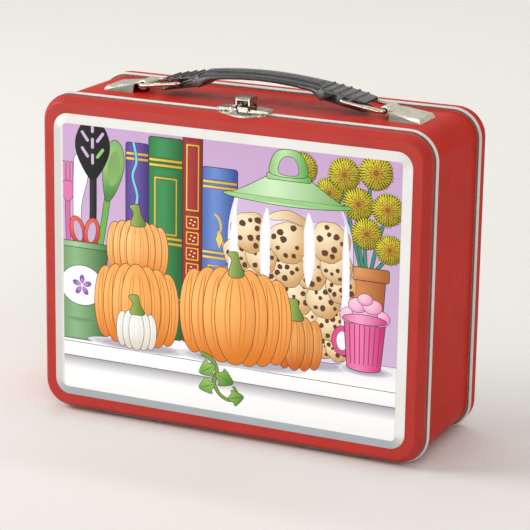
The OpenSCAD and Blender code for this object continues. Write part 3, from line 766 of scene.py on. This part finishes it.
def make_picture():
    rng = random.Random(7)
    art = Picture()
    paint_room(art)
    paint_books(art)
    paint_fork(art)
    paint_scraper(art)
    paint_spoon(art)
    paint_turner(art)
    paint_scissors(art)
    paint_utensil_pot(art)
    paint_flowers(art, rng)
    paint_shadows(art)
    paint_jar(art, rng)
    paint_pumpkin(art, 35, -25, 15, 13, 2, "F3B468", "C8641C")
    paint_pumpkin(art, 5, -17, 30, 23, 3)
    paint_pumpkin(art, -45.5, 8, 17, 14, 3, "FFCB84", "E08428")
    paint_pumpkin(art, -46, -19, 23.5, 20, 3, stalk=False)
    paint_pumpkin(art, -46, -31, 11.5, 9.6, 2, "FFFFFF", "D9D2C4", "6E6658")
    paint_vine(art)
    paint_cup(art)
    return art


def make_print(art):
    """One flat sheet cut along every shape's edge, each facet in the colour of the topmost shape over it."""
    corner_r, cell, weld = 1.9, 2.5, 1e-5
    edge = box_shape(-HALF_W, -HALF_H, HALF_W, HALF_H, corner_r)
    points, faces = [], []

    def add(outline):
        start = len(points)
        points.extend(Vector(p) for p in outline)
        faces.append(list(range(start, start + len(outline))))

    add(edge)
    for outline, _ in art.shapes:
        add(outline)
    columns, rows = int(HALF_W * 2 / cell), int(HALF_H * 2 / cell)
    for i in range(1, columns):
        for j in range(1, rows):
            points.append(Vector((-HALF_W + HALF_W * 2 * i / columns, -HALF_H + HALF_H * 2 * j / rows)))
    verts, _, tris, _, _, sources = delaunay_2d_cdt(points, [], faces, 0, weld, True)
    middle = (PRINT_LOW + PRINT_HIGH) / 2
    bm = bmesh.new()
    layer = bm.loops.layers.float_color.new("ink")
    made = [bm.verts.new((middle.x + v.x * MM, PRINT_LOW.y, middle.z + v.y * MM)) for v in verts]
    for tri, source in zip(tris, sources):
        if 0 not in source:
            continue
        top = max(source)
        centre = sum((verts[i] for i in tri), Vector((0, 0))) / 3
        face = bm.faces.new([made[i] for i in tri])
        paint = art.shapes[top - 1][1] if top else plain("FFFFFF")
        for loop in face.loops:
            place = Vector(((loop.vert.co.x - middle.x) / MM, (loop.vert.co.z - middle.z) / MM))
            loop[layer] = (*paint(place * 0.98 + centre * 0.02), 1)
    bmesh.ops.delete(bm, geom=[v for v in bm.verts if not v.link_faces], context="VERTS")
    bmesh.ops.recalc_face_normals(bm, faces=bm.faces)
    if sum(f.normal.y for f in bm.faces) > 0:
        bmesh.ops.reverse_faces(bm, faces=bm.faces)
    mesh = bpy.data.meshes.new("picture")
    bm.to_mesh(mesh)
    bm.free()
    piece = add_piece(mesh, PRINT, "cover", "front_print")
    thick = piece.modifiers.new("thickness", "SOLIDIFY")
    thick.thickness = PRINT_HIGH.y - PRINT_LOW.y
    thick.offset = -1


# ---- The grip: a moulded arch with a crowned middle, side rails, ribbed ends and lower tongues ----

# In millimetres: x out from the grip's middle, y out from its centre line, z above the beads
GRIP_LOW = corner("handle_grip", 0)
GRIP_HIGH = corner("handle_grip", 1)
GRIP_HALF_MM = (GRIP_HIGH.x - GRIP_LOW.x) / 2 / MM
GRIP_SIDE_MM = (GRIP_HIGH.y - GRIP_LOW.y) / 2 / MM
SIDE_GAP_MM = 0.05
DRAWN_SIDE_MM = 8.35      # the half width that the sections below are drawn for
ARCH_MM = 208
EDGE_MM = 12
CROWN_END_MM = 30.2
CROWN_FADE_MM = 1.6
TIP_MM = 1.2
RAIL_MM = 7.6
# Half of the crowned top: distance out from the centre line, height over the arch
CROWN = ((0, 1.58), (1.6, 1.5), (3, 1.2), (3.9, 0.78), (4.3, 0.2), (4.6, -0.5), (5.0, -0.8), (5.4, -0.5),
         (5.9, 0.1), (6.6, 0.25), (7.4, 0.1), (7.95, -0.25), (8.25, -0.7))
# Underside of the grip: distance out from the middle, height over the beads
UNDERSIDE = ((0, 9.8), (8, 9.6), (16, 9.0), (24, 8.0), (26.4, 7.3), (28.2, 6.1), (29.4, 4.7), (30.8, 3.7),
             (32.55, 4.8), (32.6, 7.6), (38, 7.1), (45.4, 6.3), (50, 5.12), (52.4, 4.5))
SLOT_FACE = (32.55, 32.6)
RIBS = [31.3 + 4.14 * i for i in range(5)]
RIB_PROFILE = ((-0.46, 0), (-0.36, 0.5), (-0.22, 0.6), (0.22, 0.6), (0.36, 0.5), (0.46, 0))
# The lower tongues, in the same way
TONGUE_TOP = ((30, 5.15), (31.1, 4.95), (38.5, 3.4), (52, 1.4))
TONGUE_LOW = ((30, 4.15), (52, 0.06))
TONGUE_STATIONS = (30.0, 31.1, 34, 38.5, 42, 45.5, 48.5, 50, 51, 51.6, 51.95)
TONGUE_SIDE_MM = 6.65
TONGUE_TAPER_MM = 48.5
POST = ((45.7, -0.8), (47.7, -0.8), (47.7, 0.8), (45.7, 0.8))
POST_Y_MM = 4.9
POST_ENDS = (1.9, 6.6)


def between(pairs, x):
    """The height at x along a line given by its corners."""
    for (x0, y0), (x1, y1) in zip(pairs, pairs[1:]):
        if x <= x1:
            return y0 + (y1 - y0) * (x - x0) / (x1 - x0)
    return pairs[-1][1]


def edge_height(u):
    return EDGE_MM - ARCH_MM + math.sqrt(ARCH_MM * ARCH_MM - u * u)


def grip_section(u, raised):
    """One closed loop across the grip, u out from its middle."""
    out = abs(u)
    top, low = edge_height(u), between(UNDERSIDE, out)
    crowned = min(max((CROWN_END_MM - out) / CROWN_FADE_MM, 0), 1)
    tip = max(out - (GRIP_HALF_MM - TIP_MM), 0) / TIP_MM
    width = (GRIP_SIDE_MM - SIDE_GAP_MM) / DRAWN_SIDE_MM * (1 - 0.09 * tip * tip)
    sink = 0.5 * tip * tip
    half = []
    for y, h in CROWN:
        flat = min(0, (RAIL_MM - y) * 0.9)
        half.append((y * width, top + h * crowned + (flat + raised) * (1 - crowned) - sink))
    deep = top - low
    side = DRAWN_SIDE_MM * width
    half += [(side, top - 0.32 * deep), (side, low + 0.3 * deep), (8.2 * width, low + 0.35),
             (7.8 * width, low + 0.08), (7.0 * width, low), (3.5 * width, low + 0.02)]
    return [Vector((u, y, z)) for y, z in half] + [Vector((u, -y, z)) for y, z in reversed(half[1:])]


def tongue_section(u):
    """One closed loop across a lower tongue."""
    out = abs(u)
    top = between(TONGUE_TOP, out)
    low = between(TONGUE_LOW, out)
    tip = max(out - TONGUE_TAPER_MM, 0) / 3.5
    side = TONGUE_SIDE_MM * math.sqrt(max(1 - 0.85 * tip ** 3, 0.02))
    top -= 0.35 * tip ** 2
    r = min(0.4, (top - low) * 0.4)
    half = [(0, top), (side - 1.4, top), (side - r, top - 0.04), (side - 0.1, top - r), (side, (top + low) / 2),
            (side - 0.1, low + r), (side - r, low + 0.04), (side - 1.4, low), (0, low)]
    return [Vector((u, y, z)) for y, z in half] + [Vector((u, -y, z)) for y, z in reversed(half[1:-1])]


def loft(bm, loops, place):
    rows = [[bm.verts.new(place @ p) for p in loop] for loop in loops]
    for a, b in zip(rows, rows[1:]):
        for i in range(len(a)):
            bm.faces.new((a[i - 1], a[i], b[i], b[i - 1]))
    bm.faces.new(rows[0])
    bm.faces.new(rows[-1][::-1])


def grip_stations():
    """Distances out and how far a rib stands up there, from the middle to one tip."""
    places = {0.0: 0, 52.1: 0, GRIP_HALF_MM: 0}
    for k in range(1, 15):
        places[2.0 * k] = 0
    for u, _ in UNDERSIDE[4:-1]:
        places[u] = 0
    for k in range(4):
        places[28.6 + 0.4 * k] = 0
    for u in RIBS:
        for near in [q for q in places if abs(q - u) < 0.6 and q not in SLOT_FACE]:
            del places[near]
        for step, up in RIB_PROFILE:
            places[round(u + step, 3)] = up
    return sorted(places.items())


def make_grip():
    centre = (GRIP_LOW + GRIP_HIGH) / 2
    centre.z = BEAD_TOP
    place = Matrix.Translation(centre) @ Matrix.Scale(MM, 4)
    bm = bmesh.new()
    stations = grip_stations()
    spread = [(-u, up) for u, up in reversed(stations[1:])] + stations
    loft(bm, [grip_section(u, up) for u, up in spread], place)
    for side in (-1, 1):
        loft(bm, [tongue_section(side * u) for u in TONGUE_STATIONS], place)
        for y in (-POST_Y_MM, POST_Y_MM):
            post = [[Vector((side * x, y + w, z)) for x, w in POST] for z in POST_ENDS]
            loft(bm, post, place)
    bmesh.ops.recalc_face_normals(bm, faces=bm.faces)
    mesh = bpy.data.meshes.new("grip")
    bm.to_mesh(mesh)
    bm.free()
    mesh.shade_smooth()
    mesh.set_sharp_from_angle(angle=math.radians(38))
    add_piece(mesh, GRIP, "grip", "handle_grip")


def ease_edges(width, *nodes):
    """Rounds the pressed metal's sharp edges so that they catch the light."""
    for name in nodes:
        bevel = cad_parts[name].modifiers.new("eased", "BEVEL")
        bevel.width = width
        bevel.segments = 2
        bevel.limit_method = "ANGLE"
        bevel.angle_limit = math.radians(40)
        bevel.use_clamp_overlap = True


# ---- Floor and lights ----

def make_stage():
    """A pale floor that curves up into a backdrop far behind."""
    bm = bmesh.new()
    near, far, side, rise, bend = -3.0, 1.6, 3.5, 3.0, 0.9
    path = [(near, 0.0), (far, 0.0)]
    for a in (math.radians(6 * i) for i in range(1, 16)):
        path.append((far + bend * math.sin(a), bend * (1 - math.cos(a))))
    path.append((far + bend, rise))
    rows = [[bm.verts.new((x, y, z)) for x in (-side, side)] for y, z in path]
    for low, high in zip(rows, rows[1:]):
        bm.faces.new((low[0], low[1], high[1], high[0]))
    mesh = bpy.data.meshes.new("floor")
    bm.to_mesh(mesh)
    bm.free()
    mesh.shade_smooth()
    s = Shader("floor", Roughness=0.7)
    s.surface.inputs["Base Color"].default_value = (*linear("E4E2DE"), 1)
    mesh.materials.append(s.material)
    floor = bpy.data.objects.new("floor", mesh)
    bpy.context.collection.objects.link(floor)


def area_light(name, place, aim, size, power):
    """A rectangular light at a place, facing an aim."""
    data = bpy.data.lights.new(name, "AREA")
    data.shape = "RECTANGLE"
    data.size, data.size_y = size
    data.energy = power
    light = bpy.data.objects.new(name, data)
    light.location = place
    light.rotation_euler = (Vector(aim) - Vector(place)).to_track_quat("-Z", "Y").to_euler()
    bpy.context.collection.objects.link(light)


def make_lights():
    aim = (0, 0, 0.08)
    area_light("key", (-1.45, -0.45, 0.95), aim, (0.9, 0.8), 21)
    area_light("front", (-0.5, -0.95, 0.1), aim, (0.6, 0.14), 2.0)
    area_light("right", (1.3, -1.3, 1.2), aim, (1.4, 1.1), 11)
    area_light("ridge", (0.1, -1.25, 1.35), aim, (1.8, 0.2), 3)
    area_light("top", (0.1, 0.5, 1.7), aim, (2.0, 1.0), 3)
    area_light("backdrop", (0, 0.9, 2.0), (0, 2.3, 0.5), (3.0, 0.6), 23)
    world = bpy.data.worlds.new("room")
    world.use_nodes = True
    sky = world.node_tree.nodes["Background"]
    sky.inputs["Color"].default_value = (*linear("FFFDF8"), 1)
    sky.inputs["Strength"].default_value = 0.36
    bpy.context.scene.world = world
    bpy.context.scene.view_settings.view_transform = "Standard"


dress(BODY_RED_PAINTED_LIGHTER, "body_band", "rear_shell")
dress(COVER_RED_PAINTED_DARKER, "front_cover")
dress(CREAM, "front_bead", "rear_bead")
dress(WHITE, "front_panel", "rear_panel")
dress(NICKEL, "left_bracket", "right_bracket", "left_link", "right_link")
dress(LATCH_NICKEL_PAINTED_DARKER, "latch_base", "latch_lever", "latch_strike", "latch_rivets", "strike_rivets")
dress(STEEL, "cover_knuckles", "body_knuckles", "hinge_pins", "latch_pin")
dress(SPRING, "latch_spring")
dress(GRIP, "handle_grip")
make_camera()
make_stage()
make_lights()
make_print(make_picture())
make_grip()
ease_edges(0.12 * MM, "latch_base", "latch_lever", "latch_strike")
ease_edges(0.24 * MM, "left_bracket", "right_bracket")
